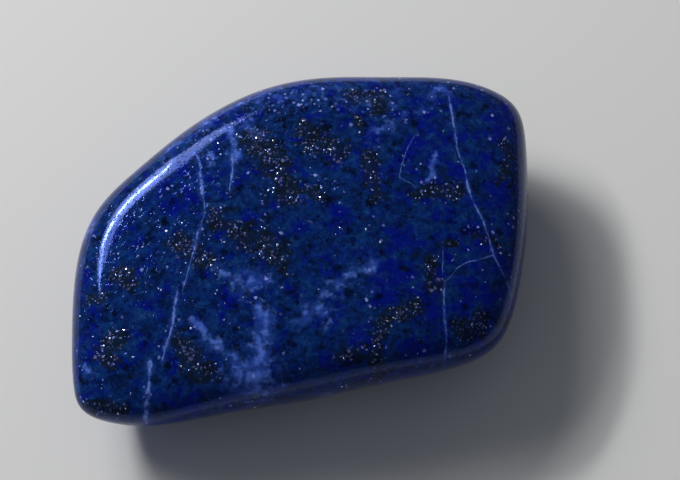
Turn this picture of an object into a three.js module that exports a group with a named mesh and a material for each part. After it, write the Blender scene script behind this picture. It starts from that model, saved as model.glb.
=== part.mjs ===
// A tumble-polished freeform of lapis lazuli: one stone, lying on its broad back.
//
// Units are millimetres and +Z is up. +X runs along the stone's length, and the origin is on the
// surface that it rests on, under the middle of its box.
//
// A stone that has tumbled for weeks keeps the broken block's flats, each worn a little convex, and
// loses every edge between them. So the skin is written as one formula: each flat gives a soft
// wall, and the skin is where all the walls together reach full strength. Rays from the heart of
// the stone find that skin, one ray for each vertex of a finely divided cube.
import * as THREE from "three";
import { mergeVertices } from "three/addons/utils/BufferGeometryUtils.js";

// ---- Driving dimensions: millimetres and degrees ----

// The rim is nine flats. "facing" is where each one looks in plan, turning from +X towards +Y.
// "lean" tips it to look up (positive) or down (negative). "reach" is its distance from the heart,
// and "soft" is how broadly it rounds into its neighbours.
const RIM_FLATS = {
  rightEnd: { facing: 356, lean: 11, reach: 21.8, soft: 1.4 },
  farRightCorner: { facing: 65, lean: 3.5, reach: 26.65, soft: 1.3 },
  farEdge: { facing: 93.5, lean: 19, reach: 20.1, soft: 1.2 },
  farSlope: { facing: 129, lean: 19, reach: 19.1, soft: 1.3 },
  leftShoulder: { facing: 165.5, lean: 21.5, reach: 23.1, soft: 1.5 },
  leftEnd: { facing: 184, lean: -2.5, reach: 24.2, soft: 0.9 },
  nearLeftCorner: { facing: 254, lean: -8, reach: 21.3, soft: 0.6 },
  nearEdge: { facing: 282, lean: -22, reach: 12.9, soft: 1.2 },
  nearRightCorner: { facing: 330, lean: -12, reach: 21.6, soft: 1.5 },
};
const RIM_BULGE_RADIUS = 21;

// The broad face on top slopes down towards -Y. Its crown is the radius that wear has given it.
const FACE = { facing: 270, lean: 85, reach: 6.3, soft: 1.8 };
const FACE_CROWN_RADIUS = 90;

// The back is rounder than the face, and has worn flat where it is lowest.
const BACK = { facing: 0, lean: -90, reach: 7.4, soft: 2.0 };
const BACK_CROWN_RADIUS = 70;
const RESTING_FLAT_RISE = 0.35;

// Three long, low waves keep the flats from looking machined.
const WAVES = [
  { height: 0.07, length: 13, facing: 20, lean: 15, start: 40 },
  { height: 0.06, length: 19, facing: 140, lean: -10, start: 115 },
  { height: 0.04, length: 10, facing: 75, lean: 50, start: 0 },
];

// The rays: how many divisions each side of the cube has, and how the cube is stretched to suit a
// flat stone, so that the vertices stand evenly along the worn edges too.
const RAY_DIVISIONS = 26;
const RAY_STRETCH = { x: 22, y: 18, z: 12 };
const LONGEST_RAY = 45;
const HALVINGS = 40; // each halves the doubt: 45 mm falls far below a thousandth of a millimetre

const POLISHED_BLUE = { color: 0x0e2154, roughness: 0.15, metalness: 0 };

// ---- The skin as a formula ----

// The outward direction of a flat that faces and leans so.
function directionOf({ facing, lean }) {
  const turn = THREE.MathUtils.degToRad(facing);
  const tip = THREE.MathUtils.degToRad(lean);
  const level = Math.cos(tip);
  return new THREE.Vector3(level * Math.cos(turn), level * Math.sin(turn), Math.sin(tip));
}

// The direction that climbs straight up a flat.
function climbOf({ facing, lean }) {
  return directionOf({ facing, lean: lean + 90 });
}

const rimWalls = Object.values(RIM_FLATS).map((flat) => ({
  outward: directionOf(flat),
  climb: climbOf(flat),
  reach: flat.reach,
  soft: flat.soft,
}));
const faceWall = { ...FACE, outward: directionOf(FACE), crown: FACE_CROWN_RADIUS };
const backWall = { ...BACK, outward: directionOf(BACK), crown: BACK_CROWN_RADIUS };
const waves = WAVES.map(({ height, length, start, ...way }) => ({
  height,
  turnsPerMm: directionOf(way).multiplyScalar((2 * Math.PI) / length),
  start: THREE.MathUtils.degToRad(start),
}));

// How far the waves sink the skin at a point.
function waveDepth(point) {
  return waves.reduce(
    (depth, wave) => depth + wave.height * Math.sin(point.dot(wave.turnsPerMm) + wave.start),
    0,
  );
}

// A rim flat bulges from top to bottom only, like a worn barrel stave.
function rimStrength(wall, point, depth) {
  const climbed = point.dot(wall.climb);
  const bulge = (climbed * climbed) / (2 * RIM_BULGE_RADIUS);
  return Math.exp((point.dot(wall.outward) + bulge + depth - wall.reach) / wall.soft);
}

// The face and the back are domed both ways.
function domeStrength(wall, point, depth) {
  const out = point.dot(wall.outward);
  const sideways = point.lengthSq() - out * out;
  const dome = sideways / (2 * wall.crown);
  return Math.exp((out + dome + depth - wall.reach) / wall.soft);
}

// Under 1 inside the stone, 1 on its skin, over 1 outside.
function strengthAt(point) {
  const depth = waveDepth(point);
  const rim = rimWalls.reduce((sum, wall) => sum + rimStrength(wall, point, depth), 0);
  return rim + domeStrength(faceWall, point, depth) + domeStrength(backWall, point, depth);
}

// The point where a ray from the heart leaves the stone, found by halving.
function skinPoint(ray) {
  let inside = 0;
  let outside = LONGEST_RAY;
  for (let halving = 0; halving < HALVINGS; halving += 1) {
    const middle = (inside + outside) / 2;
    if (strengthAt(ray.clone().multiplyScalar(middle)) < 1) inside = middle;
    else outside = middle;
  }
  return ray.clone().multiplyScalar(inside);
}

// ---- The stone ----

// A cube that reaches 1 each way from the heart.
function dividedCube() {
  const cube = new THREE.BoxGeometry(2, 2, 2, RAY_DIVISIONS, RAY_DIVISIONS, RAY_DIVISIONS);
  cube.deleteAttribute("normal");
  cube.deleteAttribute("uv");
  return mergeVertices(cube);
}

// The ray through a point of the cube. The tangent opens the same angle between all neighbours.
function rayThrough(point) {
  const evenly = (part) => Math.tan((part * Math.PI) / 4);
  const { x, y, z } = RAY_STRETCH;
  return new THREE.Vector3(x * evenly(point.x), y * evenly(point.y), z * evenly(point.z)).normalize();
}

// Moves every vertex out along its ray to the skin.
function pushToSkin(geometry) {
  const vertices = geometry.getAttribute("position");
  const corner = new THREE.Vector3();
  for (let index = 0; index < vertices.count; index += 1) {
    const point = skinPoint(rayThrough(corner.fromBufferAttribute(vertices, index)));
    vertices.setXYZ(index, point.x, point.y, point.z);
  }
}

// Cuts the resting flat: nothing stays lower than a little above the lowest point.
function wearRestingFlat(geometry) {
  geometry.computeBoundingBox();
  const level = geometry.boundingBox.min.z + RESTING_FLAT_RISE;
  const vertices = geometry.getAttribute("position");
  for (let index = 0; index < vertices.count; index += 1) {
    vertices.setZ(index, Math.max(vertices.getZ(index), level));
  }
}

// Puts the origin under the middle of the box, on the resting flat.
function standOnOrigin(geometry) {
  geometry.computeBoundingBox();
  const { min, max } = geometry.boundingBox;
  geometry.translate(-(min.x + max.x) / 2, -(min.y + max.y) / 2, -min.z);
}

function makeStone() {
  const geometry = dividedCube();
  pushToSkin(geometry);
  wearRestingFlat(geometry);
  standOnOrigin(geometry);
  geometry.computeVertexNormals();
  const stone = new THREE.Mesh(geometry, new THREE.MeshStandardMaterial(POLISHED_BLUE));
  stone.name = "stone";
  return stone;
}

const lapis = new THREE.Group();
lapis.add(makeStone());

export default lapis;
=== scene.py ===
# %% [markdown]
# # A polished lapis lazuli stone
# Lapis lazuli is a rock, not one mineral: blue lazurite and sodalite grains, white calcite in
# clouds and veins, and flecks of pyrite. This one is a slab about 45 mm long that tumbled in grit
# until its edges were round and its skin shone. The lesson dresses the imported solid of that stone.
# It makes a smooth skin, maps where each mineral lies, mixes them in one material, and sets real
# pyrite grains into the surface.

# %% Load the frame
import math

import bmesh
import bpy
import numpy as np
from mathutils import Matrix, Vector, noise


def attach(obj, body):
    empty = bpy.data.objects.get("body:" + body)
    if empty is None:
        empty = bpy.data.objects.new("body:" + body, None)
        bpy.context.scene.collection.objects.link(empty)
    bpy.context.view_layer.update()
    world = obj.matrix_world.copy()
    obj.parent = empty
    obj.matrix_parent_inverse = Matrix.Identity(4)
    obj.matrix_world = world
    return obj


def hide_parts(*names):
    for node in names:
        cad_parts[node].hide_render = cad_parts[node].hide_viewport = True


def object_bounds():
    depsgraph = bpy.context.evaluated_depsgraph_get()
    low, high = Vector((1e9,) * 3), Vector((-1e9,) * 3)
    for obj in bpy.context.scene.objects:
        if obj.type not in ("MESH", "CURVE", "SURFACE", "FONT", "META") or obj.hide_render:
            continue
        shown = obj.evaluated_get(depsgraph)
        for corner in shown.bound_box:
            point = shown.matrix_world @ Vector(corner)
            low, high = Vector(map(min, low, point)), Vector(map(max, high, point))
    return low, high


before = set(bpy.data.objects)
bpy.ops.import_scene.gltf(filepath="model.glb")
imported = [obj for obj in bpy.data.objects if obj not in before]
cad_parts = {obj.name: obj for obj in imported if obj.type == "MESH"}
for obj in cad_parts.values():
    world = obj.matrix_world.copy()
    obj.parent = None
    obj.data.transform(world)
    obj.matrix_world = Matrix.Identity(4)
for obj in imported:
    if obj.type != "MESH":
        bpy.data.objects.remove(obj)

CAD_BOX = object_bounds()
MM = 0.001
scene = bpy.context.scene
print("packed stone, mm:", [round(side / MM, 1) for side in np.subtract(CAD_BOX[1], CAD_BOX[0])])

# %% [markdown]
# ## The camera
# A stone on a table is looked at from above and a little to the front. A long lens keeps its
# outline close to its true plan. The camera is placed from four plain facts: the point it aims at,
# how steeply it looks down, the lens, and how wide a strip of the table fills the picture.

# %% Camera
AIM = Vector((3.6, 1.45, 6.0)) * MM
LOOKING_DOWN = math.radians(65)
LENS = 100
SENSOR_WIDTH = 36
VIEW_WIDTH = 68 * MM
NEAREST_SEEN = 10 * MM


def direction(azimuth, elevation):
    """The unit vector towards an azimuth (turning from +X to +Y) and elevation, in degrees."""
    turn, climb = math.radians(azimuth), math.radians(elevation)
    return Vector((math.cos(climb) * math.cos(turn), math.cos(climb) * math.sin(turn), math.sin(climb)))


camera_data = bpy.data.cameras.new("camera")
camera_data.lens = LENS
camera_data.sensor_width = SENSOR_WIDTH
camera_data.clip_start = NEAREST_SEEN
camera = bpy.data.objects.new("camera", camera_data)
scene.collection.objects.link(camera)
camera_distance = VIEW_WIDTH * LENS / SENSOR_WIDTH
camera.location = AIM + direction(-90, math.degrees(LOOKING_DOWN)) * camera_distance
camera.rotation_euler = (math.pi / 2 - LOOKING_DOWN, 0, 0)
scene.camera = camera
print("camera stands off, mm:", round(camera_distance / MM))

# %% [markdown]
# ## Small helpers
# Colours are written as sRGB hex, as a paint chart gives them, and one function turns them to the
# linear values that Blender's nodes expect. Another adds a node of any kind, sets its settings,
# gives each input a value or a link, and hands back the output that the next node needs. The names
# tree and shader always stand for the material that is being built at the time.


# %% Helpers
def linear(hex_colour):
    """An sRGB hex colour as linear RGBA."""
    channels = [int(hex_colour[i : i + 2], 16) / 255 for i in (1, 3, 5)]
    return [c / 12.92 if c <= 0.04045 else ((c + 0.055) / 1.055) ** 2.4 for c in channels] + [1.0]


def add(tree, kind, inputs=None, take=0, **settings):
    """Adds a node and returns one of its outputs, the one that take names or numbers.

    inputs maps the node's sockets to values or links.
    """
    node = tree.nodes.new(kind)
    for name, value in settings.items():
        setattr(node, name, value)
    for key, value in (inputs or {}).items():
        if isinstance(value, bpy.types.NodeSocket):
            tree.links.new(value, node.inputs[key])
        else:
            node.inputs[key].default_value = value
    return node.outputs[take] if node.outputs else node


def new_material(name):
    """An empty material with its Principled shader, wired to the output."""
    material = bpy.data.materials.new(name)
    material.use_nodes = True
    tree = material.node_tree
    tree.nodes.clear()
    surface = add(tree, "ShaderNodeBsdfPrincipled")
    add(tree, "ShaderNodeOutputMaterial", {"Surface": surface})
    return material, tree, surface.node


# The kinds of node that come up most. A colour Mix node has several sockets of each name, so its
# own go by number.
MATH, VECTOR_MATH, MAP_RANGE = "ShaderNodeMath", "ShaderNodeVectorMath", "ShaderNodeMapRange"
NOISE, VORONOI, MIX = "ShaderNodeTexNoise", "ShaderNodeTexVoronoi", "ShaderNodeMix"
MASK, BELOW, ABOVE, MIXED = 0, 6, 7, 2


def place_in_mm(tree):
    """Where a point of the stone is, in mm, from the Object coordinates."""
    metres = add(tree, "ShaderNodeTexCoord", take="Object")
    return add(tree, VECTOR_MATH, {0: metres, "Scale": 1 / MM}, operation="SCALE")


print("white, linear:", linear("#FFFFFF"))

# %% [markdown]
# ## The studio
# A polished dark stone is a mirror first and a colour second. A light overhead would wash the face
# out, so the lights stand low behind the stone's far left shoulder. The face sees only the dim room
# above it and stays deep blue, while the worn edge turns enough to catch them as one long crescent.
# One lamp mirrored in a rounded edge makes a short streak, so two softboxes overlap, end to end. A
# bright tube in front of them gives the crescent its white core, and a dim one draws out its tail.

# %% Floor
FLOOR_SIDE = 4.0
PAPER_WHITE = "#F0EFEC"
PAPER_ROUGHNESS = 0.9
PAPER_GLOSS = 0.2

half = FLOOR_SIDE / 2
floor_corners = [(-half, -half, 0), (half, -half, 0), (half, half, 0), (-half, half, 0)]
floor_mesh = bpy.data.meshes.new("floor")
floor_mesh.from_pydata(floor_corners, [], [(0, 1, 2, 3)])
floor = bpy.data.objects.new("floor", floor_mesh)
scene.collection.objects.link(floor)
paper, tree, shader = new_material("matt paper")
shader.inputs["Base Color"].default_value = linear(PAPER_WHITE)
shader.inputs["Roughness"].default_value = PAPER_ROUGHNESS
shader.inputs["Specular IOR Level"].default_value = PAPER_GLOSS
floor_mesh.materials.append(paper)
print("floor side, m:", FLOOR_SIDE)

# %% Lights
STONE_MIDDLE = Vector((0, 0, 7)) * MM
ROOM_LIGHT = 0.14
ROOM_COLOUR = "#DCE4F2"

world = bpy.data.worlds.new("dim room")
scene.world = world
world.use_nodes = True
world.node_tree.nodes["Background"].inputs["Color"].default_value = linear(ROOM_COLOUR)
world.node_tree.nodes["Background"].inputs["Strength"].default_value = ROOM_LIGHT
scene.view_settings.view_transform = "Standard"


def softbox(name, azimuth, elevation, distance, spread, roll, radiance):
    """A light that the stone sees as an ellipse. spread = (wide, high), and angles are in degrees."""
    lamp = bpy.data.lights.new(name, "AREA")
    lamp.shape = "ELLIPSE"
    lamp.size, lamp.size_y = (2 * distance * math.tan(math.radians(angle / 2)) for angle in spread)
    area = math.pi / 4 * lamp.size * lamp.size_y
    lamp.energy = radiance * math.pi * area
    light = bpy.data.objects.new(name, lamp)
    scene.collection.objects.link(light)
    away = direction(azimuth, elevation)
    facing = away.to_track_quat("Z", "Y").to_matrix().to_4x4()
    rolled = Matrix.Rotation(math.radians(roll), 4, "Z")
    light.matrix_world = Matrix.Translation(STONE_MIDDLE + away * distance) @ facing @ rolled
    light.visible_camera = False
    print(f"{name}: {lamp.energy:.2f} W")


# How bright each kind of light is, and how far from the stone it stands, in metres.
SOFTBOX = {"radiance": 9.5, "distance": 0.6}
BRIGHT_TUBE = {"radiance": 80.0, "distance": 0.57}
DIM_TUBE = {"radiance": 25.0, "distance": 0.57}
softbox("left softbox", 125.8, 36.3, spread=(30.2, 12.8), roll=0, **SOFTBOX)
softbox("right softbox", 141.2, 35.2, spread=(29.5, 12.4), roll=30, **SOFTBOX)
softbox("bare tube", 139.7, 34.6, spread=(17.0, 3.0), roll=5, **BRIGHT_TUBE)
softbox("dim tube", 154.8, 40.0, spread=(17.0, 2.2), roll=29, **DIM_TUBE)

# %% [markdown]
# ## The skin of the stone
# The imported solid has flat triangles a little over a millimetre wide, and a polished skin would
# show every one. Catmull-Clark subdivision rounds them, but it also pulls a surface inwards where
# it curves, which would shrink the worn edges. So the cage is first pushed out by what each
# corner loses, a few times over, until the smooth skin passes through the solid's own corners.

# %% Cage
WELD = 0.001 * MM
ANY_ANGLE = math.pi


def welded_quads(node, name):
    """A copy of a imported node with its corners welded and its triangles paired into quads."""
    mesh = bpy.data.meshes.new(name)
    bm = bmesh.new()
    bm.from_mesh(node.data)
    bmesh.ops.remove_doubles(bm, verts=bm.verts, dist=WELD)
    bmesh.ops.join_triangles(
        bm,
        faces=bm.faces,
        angle_face_threshold=ANY_ANGLE,
        angle_shape_threshold=ANY_ANGLE,
        topology_influence=1.0,
    )
    bm.to_mesh(mesh)
    bm.free()
    piece = bpy.data.objects.new(name, mesh)
    scene.collection.objects.link(piece)
    return piece


def positions(mesh):
    """A mesh's vertices as rows of x, y, z."""
    flat = np.empty(len(mesh.vertices) * 3, np.float32)
    mesh.vertices.foreach_get("co", flat)
    return flat.reshape(-1, 3).astype(float)


def move_to(mesh, points):
    """Puts a mesh's vertices where the rows say."""
    mesh.vertices.foreach_set("co", points.astype(np.float32).ravel())
    mesh.update()


def evaluated_mesh(piece):
    """The piece's mesh with its modifiers worked out, as a plain mesh."""
    depsgraph = bpy.context.evaluated_depsgraph_get()
    return bpy.data.meshes.new_from_object(piece.evaluated_get(depsgraph), depsgraph=depsgraph)


cage = welded_quads(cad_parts["stone"], "cage")
corners = positions(cage.data)
print("cage corners:", len(corners))

# %% Skin
SUBDIVISIONS = 2
CAGE_PASSES = 4

smooth = cage.modifiers.new("smooth skin", "SUBSURF")
smooth.levels = smooth.render_levels = SUBDIVISIONS
for _ in range(CAGE_PASSES):
    trial = evaluated_mesh(cage)
    lost = corners - positions(trial)[: len(corners)]
    move_to(cage.data, positions(cage.data) + lost)
    bpy.data.meshes.remove(trial)
    print("skin misses the solid's corners by, mm:", round(float(np.abs(lost).max()) / MM, 3))

skin_mesh = evaluated_mesh(cage)
bpy.data.objects.remove(cage)
skin_mesh.name = "lapis_stone"
stone = bpy.data.objects.new("lapis_stone", skin_mesh)
scene.collection.objects.link(stone)
move_to(skin_mesh, np.clip(positions(skin_mesh), CAD_BOX[0], CAD_BOX[1]))
skin_mesh.shade_smooth()
print("skin faces:", len(skin_mesh.polygons))

# %% [markdown]
# ## Where the minerals lie
# In the real rock each mineral fills its own patches: calcite in feathery clouds, pyrite in loose
# swarms with dark rock between the grains, and the bluest lazurite in islands. A texture alone
# would put them anywhere. So they are mapped: short paths in millimetres say where each one runs
# on the polished face, and every vertex is given how near it is to a path. The back and the sides
# have no paths, so there a plain noise lays the same minerals at the same sizes. Another noise
# pushes the skin's points about in plan, so that the borders fray. The maps are stored as
# attributes, which the material and the pyrite grains both read.

# %% Calcite paths
# Here and in the next three lists, an entry is (reach in mm, strength, path of x, y points in mm).
CALCITE_CLOUDS = [
    (1.1, 1.2, [(-10.4, -9.6), (-9.6, -10.7)]),
    (1.4, 0.85, [(-8.9, -11.5), (-7.8, -12.0)]),
    (1.6, 0.9, [(-6.3, -13.1), (-5.5, -14.5)]),
    (1.6, 1.2, [(-4.0, -8.6), (-3.4, -9.4), (-3.7, -11.1), (-4.2, -12.5), (-3.9, -14.3)]),
    (3.0, 1.1, [(-5.9, -14.7), (-3.8, -15.0), (-4.6, -16.4)]),
    (1.3, 0.9, [(-8.2, -4.8), (-6.9, -5.3), (-6.0, -6.1)]),
    (1.6, 0.95, [(-5.2, -6.9), (-4.8, -6.0), (-3.7, -5.8)]),
    (2.0, 0.7, [(7.5, -3.7), (6.5, -4.8), (5.4, -5.6), (3.7, -6.4)]),
    (2.2, 0.78, [(3.4, -6.6), (2.7, -7.3), (1.8, -8.5), (2.2, -9.2)]),
    (1.5, 0.72, [(0.5, -8.4), (0.0, -9.9)]),
    (0.8, 1.0, [(-20.8, -13.3), (-20.1, -14.3)]),
    (1.2, 1.2, [(-7.2, 10.1), (-6.9, 8.5), (-6.9, 7.0)]),
    (1.3, 1.1, [(-5.4, 10.6), (-4.5, 9.1)]),
    (0.9, 1.1, [(-9.3, 7.3), (-9.1, 6.1)]),
    (1.4, 0.65, [(6.8, 8.9), (7.9, 10.0), (8.9, 10.8)]),
    (0.9, 0.7, [(10.1, 12.2), (11.4, 12.8)]),
    (1.1, 1.1, [(13.0, 14.2), (13.5, 15.4), (14.3, 15.0)]),
    (0.7, 1.15, [(13.4, 7.9), (13.0, 6.7), (12.7, 5.7), (12.4, 4.7)]),
    (1.3, 0.85, [(-13.4, 8.1), (-11.0, 10.3), (-8.8, 12.1), (-6.4, 13.7), (-4.2, 14.5)]),
    (1.2, 0.8, [(-20.9, 0.5), (-20.6, 2.9)]),
    (1.4, 0.6, [(4.8, 12.9), (7.4, 13.7), (9.0, 12.9)]),
    (4.5, 0.5, [(-4.0, 14.0), (2.0, 14.3), (8.0, 14.1)]),
]
print("calcite paths:", len(CALCITE_CLOUDS))

# %% Pyrite paths
PYRITE_SWARMS = [
    (2.6, 1.0, [(-4.5, 8.6), (-2.7, 5.8), (-1.2, 3.1)]),
    (2.2, 0.9, [(0.0, 9.9), (1.6, 8.5), (3.0, 7.4)]),
    (1.6, 0.8, [(-8.4, 0.6), (-7.3, -0.4)]),
    (1.9, 1.0, [(-11.8, -1.8), (-9.8, -3.7)]),
    (2.2, 0.9, [(-6.2, -1.0), (-4.2, -2.5), (-2.3, -3.7)]),
    (1.3, 0.9, [(4.6, 14.1), (7.1, 14.5), (7.7, 12.3)]),
    (1.0, 0.9, [(5.0, 11.4), (5.6, 10.5)]),
    (1.0, 0.9, [(0.8, 3.4), (1.4, 2.5)]),
    (1.1, 0.9, [(6.1, 7.3), (6.7, 4.8), (7.0, 2.4)]),
    (1.2, 0.9, [(11.3, 2.9), (13.1, 3.7), (14.8, 3.6)]),
    (0.8, 0.9, [(20.2, 9.9), (20.2, 8.3)]),
    (0.7, 0.9, [(20.0, 6.8), (18.9, 4.9)]),
    (0.8, 1.0, [(13.8, -2.1), (14.6, -2.0)]),
    (1.5, 0.9, [(-17.5, -4.3), (-16.4, -5.4)]),
    (0.7, 0.8, [(-20.6, -6.8), (-18.8, -6.8)]),
    (1.5, 1.0, [(-17.7, -11.2), (-19.2, -11.7), (-18.2, -12.7)]),
    (1.3, 0.9, [(-11.5, -11.4), (-10.9, -13.3)]),
    (1.8, 0.9, [(-10.5, -13.1), (-9.0, -14.5)]),
    (0.9, 1.0, [(12.3, -3.6), (11.8, -4.7), (12.4, -6.2), (13.3, -5.8)]),
    (1.3, 1.0, [(8.0, -9.7), (9.5, -9.1), (11.0, -8.1)]),
    (1.1, 1.0, [(7.6, -10.5), (6.9, -12.3), (7.2, -13.8)]),
    (1.2, 1.0, [(14.8, -10.4), (16.0, -9.6), (17.0, -9.0)]),
    (1.3, 0.6, [(16.9, -0.8), (18.8, -1.6)]),
    (1.3, 0.7, [(3.6, -13.1), (5.5, -12.5)]),
    (1.0, 0.8, [(-20.5, -16.6), (-16.5, -17.4)]),
    (0.7, 1.0, [(-5.2, -16.4), (-4.2, -16.4)]),
    (10.0, 0.1, [(-14.0, -8.5), (-6.0, 1.5), (2.0, 3.5)]),
]
print("pyrite paths:", len(PYRITE_SWARMS))

# %% Royal blue, and fleck and painted glint paths
ROYAL_ISLANDS = [
    (2.4, 1.1, [(-12.9, 2.7), (-11.6, 4.1)]),
    (2.6, 0.9, [(8.9, -2.5), (8.8, -5.0), (7.9, -7.0)]),
    (2.0, 0.8, [(10.4, 6.6), (11.6, 10.9), (12.8, 14.1)]),
    (3.0, 0.9, [(19.6, 12.5), (17.6, 8.1), (19.0, 2.8)]),
    (2.8, 0.9, [(16.2, -5.3), (17.9, -7.3), (12.2, -8.1)]),
    (1.6, 0.8, [(13.1, -11.5), (10.7, -12.4)]),
    (1.3, 0.9, [(-20.2, -10.2), (-19.9, -13.0)]),
    (1.5, 0.8, [(-12.2, -17.5), (-9.4, -17.1)]),
    (1.2, 0.9, [(-7.3, -6.6), (-6.4, -7.5)]),
    (9.0, 0.5, [(16.0, 7.5), (16.0, -8.5)]),
]
# Calcite flecks, and painted glints: some of these paths put pale flecks where the polish sparkles.
LILAC_FLECKS_AND_GLINTS = [
    (3.2, 0.8, [(-2.0, 13.5), (2.6, 13.1), (7.4, 13.3)]),
    (0.7, 1.6, [(7.2, 14.4), (7.9, 13.1)]),
    # These four paths are painted glints: pale flecks along the highlight and at its lower end by the left
    # edge.
    (0.5, 1.6, [(-6.5, 11.0), (-5.7, 11.5)]),
    (0.6, 1.1, [(-11.1, 7.9), (-8.5, 9.6), (-6.5, 10.9)]),
    (0.8, 1.8, [(-20.6, -6.7), (-18.9, -6.8)]),
    (0.6, 1.4, [(-20.7, -4.3), (-19.8, -2.9)]),
    (1.3, 1.0, [(9.6, 11.5), (11.4, 11.9)]),
    (1.6, 0.7, [(-9.0, 1.5), (-9.4, -1.9)]),
]
print("royal and fleck paths:", len(ROYAL_ISLANDS), len(LILAC_FLECKS_AND_GLINTS))

# %% Frayed borders
# Each wander is (size of its noise, furthest shift), in mm.
WANDERS = ((2.6, 0.6), (0.9, 0.35))
# Vector noise starts from the clock unless it is given a seed, and 0 would mean the clock again.
WANDER_SEED = 5
noise.seed_set(WANDER_SEED)


def wandered(points):
    """The points in plan, in mm, shifted by two sizes of noise so that no border is a clean curve."""
    plan = points[:, :2] / MM
    for size, shift in WANDERS:
        moved = np.array([noise.noise_vector(Vector(p) / (size * MM))[:2] for p in points])
        plan = plan + shift * moved
    return plan


skin_points = positions(skin_mesh)
plan = wandered(skin_points)
print("furthest push, mm:", round(float(np.abs(plan - skin_points[:, :2] / MM).max()), 2))

# %% Face and back
# A vertex is on the back where its normal's z is under RIM_FROM, and on the face RIM_SPAN above it.
RIM_FROM = -0.35
RIM_SPAN = 0.5


def upward(mesh):
    """1 on the polished face, 0 on the back, and between the two around the rim."""
    normals = np.empty(len(mesh.vertices) * 3, np.float32)
    mesh.vertices.foreach_get("normal", normals)
    return np.clip((normals[2::3] - RIM_FROM) / RIM_SPAN, 0, 1)


faces_up = upward(skin_mesh)
print(f"on the face: {100 * float(np.mean(faces_up > 0.5)):.0f}% of the skin's vertices")

# %% Maps of the minerals
MINERALS = {
    "calcite": CALCITE_CLOUDS,
    "pyrite": PYRITE_SWARMS,
    "royal": ROYAL_ISLANDS,
    "flecks_and_glints": LILAC_FLECKS_AND_GLINTS,
}
# On the back: the size of the noise in mm, and the values where the mineral starts and is full.
BACK_PATTERN = {
    "calcite": (5.0, 0.26, 0.5),
    "pyrite": (4.0, 0.05, 0.4),
    "royal": (7.0, -0.1, 0.3),
    "flecks_and_glints": (6.0, 0.15, 0.5),
}


def nearness(plan, reach, strength, path):
    """Strength on a path, falling evenly to nothing at reach."""
    nearest = np.full(len(plan), np.inf)
    for start, end in zip(np.array(path[:-1]), np.array(path[1:])):
        run = end - start
        share = np.clip((plan - start) @ run / (run @ run), 0, 1)
        gap = np.linalg.norm(plan - start - share[:, None] * run, axis=1)
        nearest = np.minimum(nearest, gap)
    return strength * np.clip(1 - nearest / reach, 0, 1)


def laid_by_noise(points, size, start, end):
    """The same mineral laid by noise: 0 where the noise is under start, 1 where it is over end."""
    values = np.array([noise.noise(Vector(p) / (size * MM)) for p in points])
    return np.clip((values - start) / (end - start), 0, 1)


def store(mesh, name, values):
    """Keeps one value for each vertex as a named attribute."""
    attribute = mesh.attributes.new(name, "FLOAT", "POINT")
    attribute.data.foreach_set("value", values.astype(np.float32))
    print(f"{name}: covers {100 * float(np.mean(values > 0.5)):.0f}% of the skin")


for mineral, paths in MINERALS.items():
    on_face = np.max([nearness(plan, *entry) for entry in paths], axis=0)
    on_back = laid_by_noise(skin_points, *BACK_PATTERN[mineral])
    store(skin_mesh, mineral, on_face * faces_up + on_back * (1 - faces_up))

# %% [markdown]
# ## Polished lapis
# The polish cuts straight through the crystals, so the colour of lapis is a mosaic: denim and navy
# grains under half a millimetre wide, islands of pure royal blue, and inky spots. An image could
# hold all that, but it would stretch around the rim. Noise that reads the Object coordinates runs
# through the stone as the minerals do. Each pattern's scale is a size in millimetres, turned into
# cycles per millimetre. The finest grains are drawn a little coarser than real ones, so that they
# show.

# %% Places and maps
lapis, tree, shader = new_material("polished lapis lazuli")


def shifted(where, size, by):
    """A place pushed about by noise of a size, up to by, in mm, which frays whatever is drawn there."""
    push = add(tree, NOISE, {"Vector": where, "Scale": 1 / size, "Detail": 1}, "Color")
    return add(tree, VECTOR_MATH, {0: push, 1: (2 * by,) * 3, 2: where}, operation="MULTIPLY_ADD")


place = place_in_mm(tree)
drifted = shifted(place, size=1.9, by=0.9)
frayed = shifted(place, size=0.25, by=0.12)
calcite_map, pyrite_map, royal_map, fleck_and_glint_map = (
    add(tree, "ShaderNodeAttribute", take="Fac", attribute_name=mineral) for mineral in MINERALS
)
print("maps read:", ", ".join(MINERALS))

# %% Blue ground
BLUES = [
    (0.20, "#050F28"),
    (0.36, "#081C46"),
    (0.48, "#0A2866"),
    (0.60, "#103672"),
    (0.74, "#19447E"),
    (0.90, "#2C5C9A"),
]
MOTTLE_MM = 1.1
MOSAIC_MM = 0.4
MOSAIC_SHARE = 0.2

mottle = add(tree, NOISE, {"Vector": drifted, "Scale": 1 / MOTTLE_MM, "Detail": 5, "Roughness": 0.62})
mosaic = {"Vector": frayed, "Scale": 1 / MOSAIC_MM, "Smoothness": 0.5}
mosaic = add(tree, VORONOI, mosaic, "Color", feature="SMOOTH_F1")
blend = add(tree, MIX, {MASK: MOSAIC_SHARE, BELOW: mottle, ABOVE: mosaic}, MIXED, data_type="RGBA")
blend = add(tree, "ShaderNodeSeparateColor", {0: blend}, "Red")
colour = add(tree, "ShaderNodeValToRGB", {"Fac": blend}, "Color")
stops = colour.node.color_ramp.elements
while len(stops) < len(BLUES):
    stops.new(0.5)
for stop, (at, hex_colour) in zip(stops, BLUES):
    stop.position = at
    stop.color = linear(hex_colour)
print("mottled ground:", len(tree.nodes), "nodes")

# %% Islands, ink and grain
ROYAL_BLUE = "#030B84"
INK_BLUE = "#020816"
GRAIN_MM = 0.2
USUAL_NOISE = (0.3, 0.7)
GRAIN_BRIGHTNESS = (0.6, 1.38)


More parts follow.
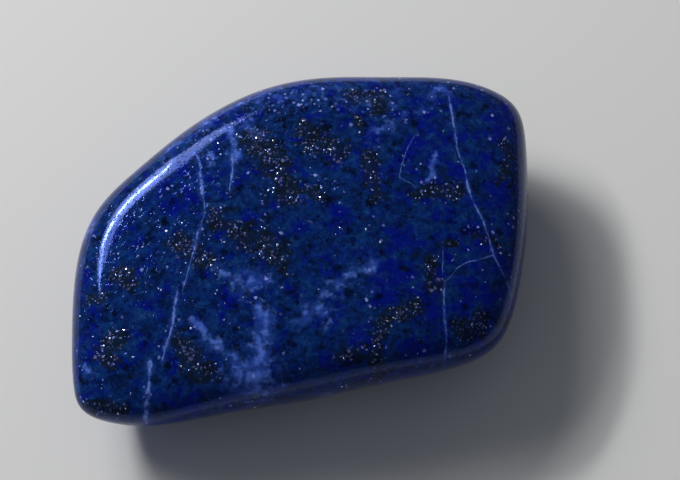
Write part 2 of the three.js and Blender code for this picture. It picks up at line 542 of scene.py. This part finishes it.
def patches(where, size, low, high, cover=1.0, lift=(0.0, 0.0), detail=4, roughness=0.6):
    """Patches of a size in mm: 0 where the noise is under low, cover where it is over high.

    lift = (map, amount) raises the noise where a mineral's map is high.
    """
    lie = add(tree, NOISE, {"Vector": where, "Scale": 1 / size, "Detail": detail, "Roughness": roughness})
    raised = add(tree, MATH, {0: lift[0], 1: lift[1], 2: lie}, operation="MULTIPLY_ADD")
    edges = {"Value": raised, "From Min": low, "From Max": high, "To Max": cover}
    return add(tree, MAP_RANGE, edges, interpolation_type="SMOOTHSTEP")


royal = patches(drifted, size=1.7, low=0.48, high=0.70, cover=0.8, lift=(royal_map, 0.17), detail=3)
colour = add(tree, MIX, {MASK: royal, BELOW: colour, ABOVE: linear(ROYAL_BLUE)}, MIXED, data_type="RGBA")
ink = patches(place, size=1.3, low=0.52, high=0.72, cover=0.92, lift=(pyrite_map, 0.07), detail=3)
colour = add(tree, MIX, {MASK: ink, BELOW: colour, ABOVE: linear(INK_BLUE)}, MIXED, data_type="RGBA")
grain = add(tree, NOISE, {"Vector": place, "Scale": 1 / GRAIN_MM, "Detail": 2, "Roughness": 0.75})
brightness = {"Value": grain, "From Min": USUAL_NOISE[0], "From Max": USUAL_NOISE[1]}
brightness |= {"To Min": GRAIN_BRIGHTNESS[0], "To Max": GRAIN_BRIGHTNESS[1]}
brightness = add(tree, MAP_RANGE, brightness)
colour = add(tree, VECTOR_MATH, {0: colour, "Scale": brightness}, operation="SCALE")
print("with islands, ink and grain:", len(tree.nodes), "nodes")

# %% [markdown]
# ## Calcite
# Calcite is white, but here it lies in thin feathers inside the blue, so it shows as a pale haze
# with a few denser wisps. Each is the calcite map broken up by noise: a wide faint layer for the
# haze, and a finer, brighter one over it where the map is strongest. Single grains of calcite make
# angular flecks, which are cells of a Voronoi pattern with most cells left empty. The same flecks
# also serve as painted glints: some of their paths lie along the highlight and by the left edge,
# where pale colour stands in for sparkle.

# %% Calcite clouds
CALCITE_HAZE = "#3456BC"
CALCITE_WISP = "#6289F0"
haze = {"size": 1.2, "low": 0.58, "high": 0.98, "cover": 0.72, "lift": (calcite_map, 0.32)}
haze = patches(place, detail=5, roughness=0.6, **haze)
colour = add(tree, MIX, {MASK: haze, BELOW: colour, ABOVE: linear(CALCITE_HAZE)}, MIXED, data_type="RGBA")
wisps = {"size": 0.7, "low": 0.65, "high": 0.98, "cover": 0.7, "lift": (calcite_map, 0.30)}
wisps = patches(place, detail=4, roughness=0.52, **wisps)
colour = add(tree, MIX, {MASK: wisps, BELOW: colour, ABOVE: linear(CALCITE_WISP)}, MIXED, data_type="RGBA")
print("with calcite clouds:", len(tree.nodes), "nodes")

# %% Crystals cut by the polish
CRYSTAL_TURN = (0.6, 0.35, 0.8)
# Half of a crystal's width is between these shares of the size that is asked for.
LEAST_HALF = 0.25
MOST_HALF = 0.75
# Over its half width, a crystal is whole inside the second value and gone past the first.
CRYSTAL_BORDER = (1.15, 0.75)
turned = add(tree, "ShaderNodeMapping", {"Vector": frayed, "Rotation": CRYSTAL_TURN})
print("crystals turned by, degrees:", [round(math.degrees(turn)) for turn in CRYSTAL_TURN])


def cut_crystals(spacing, size, share):
    """Separate crystals, one to a cell, in mm. share, 0 to 1, is how many of the cells hold one.

    The Chebychev distance makes each one a cube, which the skin cuts at any angle. A random number
    for each cell is returned too.
    """
    cells = {"Vector": turned, "Scale": 1 / spacing}
    cells = add(tree, VORONOI, cells, distance="CHEBYCHEV").node.outputs
    lots = add(tree, "ShaderNodeSeparateColor", {0: cells["Color"]}).node.outputs
    least, most = LEAST_HALF * size / spacing, MOST_HALF * size / spacing
    reach = {0: lots["Green"], 1: most - least, 2: least}
    reach = add(tree, MATH, reach, operation="MULTIPLY_ADD")
    away = add(tree, MATH, {0: cells["Distance"], 1: reach}, operation="DIVIDE")
    body = {"Value": away, "From Min": CRYSTAL_BORDER[0], "From Max": CRYSTAL_BORDER[1]}
    body = add(tree, MAP_RANGE, body)
    present = add(tree, MATH, {0: lots["Red"], 1: share}, operation="LESS_THAN")
    return add(tree, MATH, {0: body, 1: present}, operation="MULTIPLY"), lots["Blue"]


# %% Calcite flecks and painted glints
# Pale lilac for the calcite flecks, and for the painted glints among them.
FLECK_AND_GLINT_LILAC = "#97A8FF"
FLECK_DRIFT_MM = 3.0
# The share of cells with a fleck: how much the noise and the map add, from a start below nothing.
SHARE_FROM_NOISE = 0.7
SHARE_FROM_MAP = 0.55
SHARE_START = -0.29

strewn = add(tree, NOISE, {"Vector": place, "Scale": 1 / FLECK_DRIFT_MM, "Detail": 2})
strewn = add(tree, MATH, {0: strewn, 1: SHARE_FROM_NOISE, 2: SHARE_START}, operation="MULTIPLY_ADD")
strewn = add(tree, MATH, {0: fleck_and_glint_map, 1: SHARE_FROM_MAP, 2: strewn}, operation="MULTIPLY_ADD")
flecks_and_glints, lot = cut_crystals(spacing=0.46, size=0.21, share=strewn)
flecks_and_glints = add(tree, MATH, {0: flecks_and_glints, 1: lot}, operation="MULTIPLY")
colour = add(tree, MIX, {MASK: flecks_and_glints, BELOW: colour, ABOVE: linear(FLECK_AND_GLINT_LILAC)}, MIXED, data_type="RGBA")
print("with calcite flecks:", len(tree.nodes), "nodes")

# %% [markdown]
# ## Dark rock and cut pyrite
# Between the pyrite grains lies a dark olive rock, peppered with blue. The finest pyrite is cut
# level with the skin, and mirrors only the dim room, so it shows as dull lilac specks. Both are
# colour in the skin, so the specks' colour is a painted reflection of that dim room, dull or lilac
# at random. The larger grains come later as real pieces.

# %% Dark rock, and cut pyrite in a painted reflection
OLIVE_ROCK = "#131D1B"
# Painted reflections: the dim room as flat cut pyrite would mirror it, dull or lilac.
DULL_SPECK_REFLECTION = "#262A3C"
LILAC_SPECK_REFLECTION = "#686CA6"
# Two sizes of speck, each (spacing in mm, size in mm, share of the cells in a full swarm).
SPECKS = ((0.27, 0.15, 0.75), (0.45, 0.22, 0.35))
SPECK_SHARE_START = -0.06

rock = patches(drifted, size=0.8, low=0.60, high=0.74, cover=0.95, lift=(pyrite_map, 0.44), detail=5)
pepper = patches(frayed, size=0.2, low=0.30, high=0.55, cover=0.95, detail=2, roughness=0.7)
rock = add(tree, MATH, {0: rock, 1: pepper}, operation="MULTIPLY")
colour = add(tree, MIX, {MASK: rock, BELOW: colour, ABOVE: linear(OLIVE_ROCK)}, MIXED, data_type="RGBA")
for spacing, size, full_share in SPECKS:
    share = {0: pyrite_map, 1: full_share, 2: SPECK_SHARE_START}
    share = add(tree, MATH, share, operation="MULTIPLY_ADD")
    specks, lot = cut_crystals(spacing, size, share)
    # Each speck takes a painted reflection, dull or lilac by its random lot.
    speck_reflections = {MASK: lot, BELOW: linear(DULL_SPECK_REFLECTION), ABOVE: linear(LILAC_SPECK_REFLECTION)}
    speck_reflections = add(tree, MIX, speck_reflections, MIXED, data_type="RGBA")
    colour = add(tree, MIX, {MASK: specks, BELOW: colour, ABOVE: speck_reflections}, MIXED, data_type="RGBA")
print("with calcite, rock and pyrite:", len(tree.nodes), "nodes")

# %% [markdown]
# ## Veins
# A vein is a crack that filled with calcite, so it is a thin sheet through the stone. What shows is
# the line where the sheet meets the skin, and it comes out again on the other side. A curve object
# would lie on top like a thread. So each vein is a sheet in the material: a Float Curve bends it
# in plan, a lean tips it, and the distance to it, over half its width, gives a fine line at any zoom.

# %% Where the veins run
# Each vein runs mostly along one axis, through points in mm. width is in mm, lean is mm sideways
# for each mm down, and depth is how far under the face the crack goes.
VEINS = [
    {
        "axis": "Y", "width": 0.28, "lean": 0.25, "depth": 20,
        "points": [(-10.6, 7.7), (-10.05, 6.6), (-9.8, 4.7), (-9.6, 3.0)],
    },
    {
        "axis": "Y", "width": 0.09, "lean": 0.25, "depth": 20,
        "points": [(-9.6, 3.1), (-9.4, 1.3), (-9.7, 0.0)],
    },
    {
        "axis": "Y", "width": 0.20, "lean": 0.25, "depth": 20,
        "points": [(-9.6, 0.0), (-10.0, -0.9), (-10.55, -3.1), (-11.1, -5.1), (-11.6, -6.7)],
    },
    {
        "axis": "Y", "width": 0.26, "lean": 0.25, "depth": 20,
        "points": [(-12.1, -6.9), (-12.35, -8.0), (-12.55, -9.7), (-12.95, -11.0), (-13.7, -13.1)],
    },
    {
        "axis": "Y", "width": 0.30, "lean": 0.0, "depth": 20,
        "points": [(-14.35, -13.4), (-14.4, -14.4), (-14.5, -16.0), (-14.7, -17.4), (-14.9, -19.0)],
    },
    {
        "axis": "Y", "width": 0.20, "lean": 0.1, "depth": 3,
        "points": [(-6.85, 7.2), (-6.8, 5.8), (-6.9, 4.5), (-7.0, 3.4)],
    },
    {
        "axis": "Y", "width": 0.14, "lean": -0.2, "depth": 20,
        "points": [
            (14.65, 14.3), (15.05, 10.7), (15.25, 8.4), (15.95, 6.0), (16.2, 4.3), (16.6, 2.9),
            (17.6, 0.8), (18.15, -0.7), (18.7, -2.5), (19.55, -3.9), (20.4, -5.1), (20.9, -6.0),
        ],
    },
    {
        "axis": "X", "width": 0.10, "lean": 0.0, "depth": 5,
        "points": [(13.65, -5.7), (14.25, -5.1), (15.0, -4.15), (15.9, -3.6), (16.75, -3.35), (18.3, -2.7)],
    },
    {
        "axis": "Y", "width": 0.12, "lean": 0.0, "depth": 8,
        "points": [(13.65, -5.7), (13.5, -7.8), (13.55, -9.7), (13.7, -10.9), (13.6, -12.4)],
    },
    {"axis": "Y", "width": 0.06, "lean": 0.0, "depth": 4, "points": [(13.5, -2.6), (13.4, -4.7)]},
    {
        "axis": "Y", "width": 0.05, "lean": 0.0, "depth": 5,
        "points": [(11.2, 10.0), (10.3, 8.3), (9.55, 5.8), (9.4, 4.9)],
    },
    {
        "axis": "X", "width": 0.04, "lean": 0.0, "depth": 4,
        "points": [(9.4, 4.8), (10.2, 4.4), (10.85, 3.95)],
    },
]
print("veins:", len(VEINS))

# %% Depth, raggedness and uneven width
# All in mm: the height that depths are measured from, the size of the noise that makes a vein's
# course ragged, how far that noise pushes, and the size of the noise in its width.
FACE_LEVEL = 12.8
RAGGED_MM = 0.45
RAGGED_BY = 0.2
UNEVEN_MM = 1.3

axes = add(tree, "ShaderNodeSeparateXYZ", {0: place}).node.outputs
below_face = add(tree, MATH, {0: FACE_LEVEL, 1: axes["Z"]}, operation="SUBTRACT")
ragged = add(tree, NOISE, {"Vector": place, "Scale": 1 / RAGGED_MM, "Detail": 4, "Roughness": 0.7})
ragged = add(tree, MATH, {0: ragged, 1: 2 * RAGGED_BY, 2: -RAGGED_BY}, operation="MULTIPLY_ADD")
uneven = add(tree, NOISE, {"Vector": place, "Scale": 1 / UNEVEN_MM, "Detail": 4, "Roughness": 0.65})
print("with the veins' noises:", len(tree.nodes), "nodes")

# %% One sheet for each vein
# The half width is the width times (UNEVEN_GAIN * noise - UNEVEN_LOSS), and never under this in mm.
THINNEST_VEIN = 0.03
UNEVEN_GAIN = 3.6
UNEVEN_LOSS = 1.2
# How fast a vein fades past its end, for each mm.
END_FADE = 3.0
NO_VEIN_NEAR = 100.0


def plan_curve(axis, points):
    """How far across the vein is, in mm, for each place along its axis. Also returns its two ends."""
    run, side = "XY".index(axis), "YX".index(axis)
    in_order = sorted(points, key=lambda point: point[run])
    along = [point[run] for point in in_order]
    across = [point[side] for point in in_order]
    first, last, low, high = along[0], along[-1], min(across), max(across)
    share = add(tree, MAP_RANGE, {"Value": axes[axis], "From Min": first, "From Max": last})
    curve = add(tree, "ShaderNodeFloatCurve", {"Value": share})
    knots = curve.node.mapping.curves[0].points
    while len(knots) < len(points):
        knots.new(0.5, 0.5)
    for knot, a, c in zip(knots, along, across):
        knot.location = ((a - first) / (last - first), (c - low) / (high - low))
        knot.handle_type = "AUTO_CLAMPED"
    curve.node.mapping.update()
    return add(tree, MATH, {0: curve, 1: high - low, 2: low}, operation="MULTIPLY_ADD"), first, last


def vein_gap(axis, width, lean, depth, points):
    """How far a place is from the vein's sheet, over half its width. It is over 1 past its ends too."""
    sheet, first, last = plan_curve(axis, points)
    sheet = add(tree, MATH, {0: below_face, 1: lean, 2: sheet}, operation="MULTIPLY_ADD")
    sheet = add(tree, MATH, {0: sheet, 1: ragged}, operation="ADD")
    other_axis = "Y" if axis == "X" else "X"
    away = add(tree, MATH, {0: axes[other_axis], 1: sheet}, operation="SUBTRACT")
    away = add(tree, MATH, {0: away}, operation="ABSOLUTE")
    thick = {0: uneven, 1: UNEVEN_GAIN * width, 2: -UNEVEN_LOSS * width}
    thick = add(tree, MATH, thick, operation="MULTIPLY_ADD")
    thick = add(tree, MATH, {0: thick, 1: THINNEST_VEIN}, operation="MAXIMUM")
    gap = add(tree, MATH, {0: away, 1: thick}, operation="DIVIDE")
    middle = add(tree, MATH, {0: axes[axis], 1: (first + last) / 2}, operation="SUBTRACT")
    middle = add(tree, MATH, {0: middle}, operation="ABSOLUTE")
    past_end = add(tree, MATH, {0: middle, 1: (last - first) / 2}, operation="SUBTRACT")
    past_foot = add(tree, MATH, {0: below_face, 1: depth}, operation="SUBTRACT")
    past = add(tree, MATH, {0: past_end, 1: past_foot}, operation="MAXIMUM")
    past = add(tree, MATH, {0: past, 1: 0.0}, operation="MAXIMUM")
    return add(tree, MATH, {0: past, 1: END_FADE, 2: gap}, operation="MULTIPLY_ADD")


gap = NO_VEIN_NEAR
for vein in VEINS:
    gap = add(tree, MATH, {0: gap, 1: vein_gap(**vein)}, operation="MINIMUM")
print("with the veins' sheets:", len(tree.nodes), "nodes")

# %% Vein colours
VEIN_HALO = "#2D4CA8"
VEIN_CORE = "#7C9CF4"
HALO_COVER = 0.45
# In half widths from the middle of the sheet: where the halo and the core start and are full.
HALO_EDGES = (3.2, 0.6)
CORE_EDGES = (1.1, 0.3)

halo = {"Value": gap, "From Min": HALO_EDGES[0], "From Max": HALO_EDGES[1], "To Max": HALO_COVER}
halo = add(tree, MAP_RANGE, halo, interpolation_type="SMOOTHSTEP")
colour = add(tree, MIX, {MASK: halo, BELOW: colour, ABOVE: linear(VEIN_HALO)}, MIXED, data_type="RGBA")
core = {"Value": gap, "From Min": CORE_EDGES[0], "From Max": CORE_EDGES[1]}
core = add(tree, MAP_RANGE, core, interpolation_type="SMOOTHSTEP")
patchy = patches(place, size=0.8, low=0.36, high=0.62, cover=0.8, detail=4, roughness=0.7)
core = add(tree, MATH, {0: core, 1: patchy}, operation="MULTIPLY")
colour = add(tree, MIX, {MASK: core, BELOW: colour, ABOVE: linear(VEIN_CORE)}, MIXED, data_type="RGBA")
tree.links.new(colour, shader.inputs["Base Color"])
print("with the veins' colours:", len(tree.nodes), "nodes")

# %% [markdown]
# ## Shine
# Tumbling with fine powder leaves a gloss a little short of a mirror. The minerals differ in
# hardness, so the polish is never quite flat: a ripple of a few thousandths of a millimetre and
# tiny plucked pits break the long highlight into grains. Real ripple is finer than a render of the
# whole stone can show, so it is drawn at a fifth of a millimetre. Calcite and the dark rock polish
# less well, so they are duller, and the ripple stands higher where there is calcite.

# %% Shine
POLISH_ROUGHNESS = 0.06
SOFT_ROUGHNESS = 0.17
# In mm: how wide the ripples are, how high they stand outside and inside calcite, and the pits' depth.
RIPPLE_MM = 0.21
RIPPLE_HEIGHT = 0.0035
CALCITE_RIPPLE = 0.009
PIT_DEPTH = 0.011
LAPIS_IOR = 1.5
REFLECTION_TINT = "#688CFF"

duller = add(tree, MATH, {0: wisps, 1: rock}, operation="MAXIMUM")
duller = {"Value": duller, "To Min": POLISH_ROUGHNESS, "To Max": SOFT_ROUGHNESS}
duller = add(tree, MAP_RANGE, duller)
tree.links.new(duller, shader.inputs["Roughness"])
pits, _ = cut_crystals(spacing=0.34, size=0.24, share=0.3)
ripple = add(tree, NOISE, {"Vector": place, "Scale": 1 / RIPPLE_MM, "Detail": 1, "Roughness": 0.5})
height = {0: calcite_map, 1: CALCITE_RIPPLE - RIPPLE_HEIGHT, 2: RIPPLE_HEIGHT}
height = add(tree, MATH, height, operation="MULTIPLY_ADD")
ripple = add(tree, MATH, {0: ripple, 1: height}, operation="MULTIPLY")
relief = add(tree, MATH, {0: pits, 1: -PIT_DEPTH, 2: ripple}, operation="MULTIPLY_ADD")
bump = add(tree, "ShaderNodeBump", {"Height": relief, "Distance": MM, "Strength": 1.0})
tree.links.new(bump, shader.inputs["Normal"])
shader.inputs["IOR"].default_value = LAPIS_IOR
shader.inputs["Specular Tint"].default_value = linear(REFLECTION_TINT)
skin_mesh.materials.clear()
skin_mesh.materials.append(lapis)
print("polished lapis lazuli nodes:", len(tree.nodes))

# %% [markdown]
# ## Pyrite grains
# The pyrite flecks that flash are real crystals, cut through at the skin. Most are ground flat and look
# dark, because a flat one mirrors only the dim room. A few stand tipped in the rock and mirror the
# softboxes. That is a matter of form, so each grain is a small five-sided chip with a flat top. A
# particle system would be dropped on export, so Geometry Nodes strew them: they scatter points by
# the pyrite map, lay a chip on each, tip and size it at random with a fixed seed, and turn the
# copies into real mesh.

# %% Ground pyrite
PYRITE_PALE = "#D2DEFF"
PYRITE_DULL = "#5A70C0"
PYRITE_ROUGHNESS = 0.12

pyrite, tree, shader = new_material("ground pyrite")
shader.inputs["Metallic"].default_value = 1.0
place = place_in_mm(tree)
tarnish = patches(place, size=0.3, low=0.42, high=0.52, detail=1)
tarnished = {MASK: tarnish, BELOW: linear(PYRITE_PALE), ABOVE: linear(PYRITE_DULL)}
tree.links.new(add(tree, MIX, tarnished, MIXED, data_type="RGBA"), shader.inputs["Base Color"])
scuffed = patches(place, size=0.5, low=0.35, high=0.62, cover=0.5, detail=2)
scuffed = add(tree, MATH, {0: scuffed, 1: PYRITE_ROUGHNESS}, operation="ADD")
tree.links.new(scuffed, shader.inputs["Roughness"])
print("ground pyrite nodes:", len(tree.nodes))

# %% Inputs of the grain tree
GRAIN_INPUTS = {
    "Grains per mm2": ("NodeSocketFloat", 6.0 / MM**2),
    "Grain radius": ("NodeSocketFloat", 0.19 * MM),
    "Standing proud": ("NodeSocketFloat", 0.5),
    "Tip": ("NodeSocketFloat", math.radians(8)),
    "Seed": ("NodeSocketInt", 7),
    "Finish": ("NodeSocketMaterial", pyrite),
}
strew = bpy.data.node_groups.new("strew pyrite", "GeometryNodeTree")
strew.interface.new_socket("Geometry", in_out="INPUT", socket_type="NodeSocketGeometry")
for name, (socket_type, _) in GRAIN_INPUTS.items():
    strew.interface.new_socket(name, in_out="INPUT", socket_type=socket_type)
strew.interface.new_socket("Geometry", in_out="OUTPUT", socket_type="NodeSocketGeometry")
given = add(strew, "NodeGroupInput").node.outputs
print("inputs:", ", ".join(GRAIN_INPUTS))

# %% Points, closer together in the swarms
CLUMP_MM = 1.1
CLUMP_EDGES = (0.49, 0.56)

swarm = add(strew, "GeometryNodeInputNamedAttribute", {"Name": "pyrite"}, data_type="FLOAT")
spot = add(strew, "GeometryNodeInputPosition")
clump = add(strew, NOISE, {"Vector": spot, "Scale": 1 / (CLUMP_MM * MM), "Detail": 3})
clump = {"Value": clump, "From Min": CLUMP_EDGES[0], "From Max": CLUMP_EDGES[1]}
clump = add(strew, MAP_RANGE, clump)
share = add(strew, MATH, {0: swarm, 1: clump}, operation="MULTIPLY")
density = add(strew, MATH, {0: share, 1: given["Grains per mm2"]}, operation="MULTIPLY")
scatter = {"Mesh": given["Geometry"], "Density": density, "Seed": given["Seed"]}
scatter = add(strew, "GeometryNodeDistributePointsOnFaces", scatter).node.outputs
print("scattering nodes:", len(strew.nodes))

# %% One chip, tipped and sized at random
# Over the grain radius: the flat top's radius, and the least and most length, width and height.
TOP_SHARE = 0.3
LEAST_SIZE = (0.4, 0.4, 0.1)
MOST_SIZE = (1.2, 1.0, 0.28)

chip = {"Vertices": 5, "Radius Top": TOP_SHARE, "Radius Bottom": 1.0, "Depth": 1.0}
chip = add(strew, "GeometryNodeMeshCone", chip, "Mesh", fill_type="NGON")
sunk = add(strew, MATH, {0: given["Standing proud"], 1: 1.0}, operation="SUBTRACT")
sunk = add(strew, "ShaderNodeCombineXYZ", {"Z": sunk})
chip = add(strew, "GeometryNodeTransform", {"Geometry": chip, "Translation": sunk})
back = add(strew, MATH, {0: given["Tip"], 1: -1.0}, operation="MULTIPLY")
least = add(strew, "ShaderNodeCombineXYZ", {"X": back, "Y": back, "Z": -math.pi})
most = add(strew, "ShaderNodeCombineXYZ", {"X": given["Tip"], "Y": given["Tip"], "Z": math.pi})
tip = {0: least, 1: most, "Seed": given["Seed"]}
tip = add(strew, "FunctionNodeRandomValue", tip, data_type="FLOAT_VECTOR")
rotation = {"Rotation": scatter["Rotation"], "Rotate By": tip}
rotation = add(strew, "FunctionNodeRotateRotation", rotation, rotation_space="LOCAL")
sized = {0: LEAST_SIZE, 1: MOST_SIZE, "Seed": given["Seed"]}
sized = add(strew, "FunctionNodeRandomValue", sized, data_type="FLOAT_VECTOR")
sized = add(strew, VECTOR_MATH, {0: sized, "Scale": given["Grain radius"]}, operation="SCALE")
laid = {"Points": scatter["Points"], "Instance": chip, "Rotation": rotation, "Scale": sized}
laid = add(strew, "GeometryNodeInstanceOnPoints", laid)
real = add(strew, "GeometryNodeRealizeInstances", {"Geometry": laid})
real = add(strew, "GeometryNodeSetMaterial", {"Geometry": real, "Material": given["Finish"]})
add(strew, "NodeGroupOutput", {"Geometry": real})
print("grain tree nodes:", len(strew.nodes))

# %% Strewing the grains
bed = bpy.data.objects.new("grain bed", skin_mesh.copy())
scene.collection.objects.link(bed)
modifier = bed.modifiers.new("strew", "NODES")
modifier.node_group = strew
for socket in strew.interface.items_tree:
    if socket.in_out == "INPUT" and socket.name in GRAIN_INPUTS:
        modifier[socket.identifier] = GRAIN_INPUTS[socket.name][1]
grain_mesh = evaluated_mesh(bed)
bpy.data.objects.remove(bed)
grain_mesh.name = "pyrite_grains"
move_to(grain_mesh, np.clip(positions(grain_mesh), CAD_BOX[0], CAD_BOX[1]))
grains = bpy.data.objects.new("pyrite_grains", grain_mesh)
scene.collection.objects.link(grains)
grain_mesh.calc_loop_triangles()
print("pyrite triangles:", len(grain_mesh.loop_triangles))

# %% [markdown]
# ## Handing over
# Both pieces ride on the one body. The imported solid is hidden, so the skin stands in its place.

# %% Hand over
for piece in (stone, grains):
    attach(piece, "root")
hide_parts("stone")
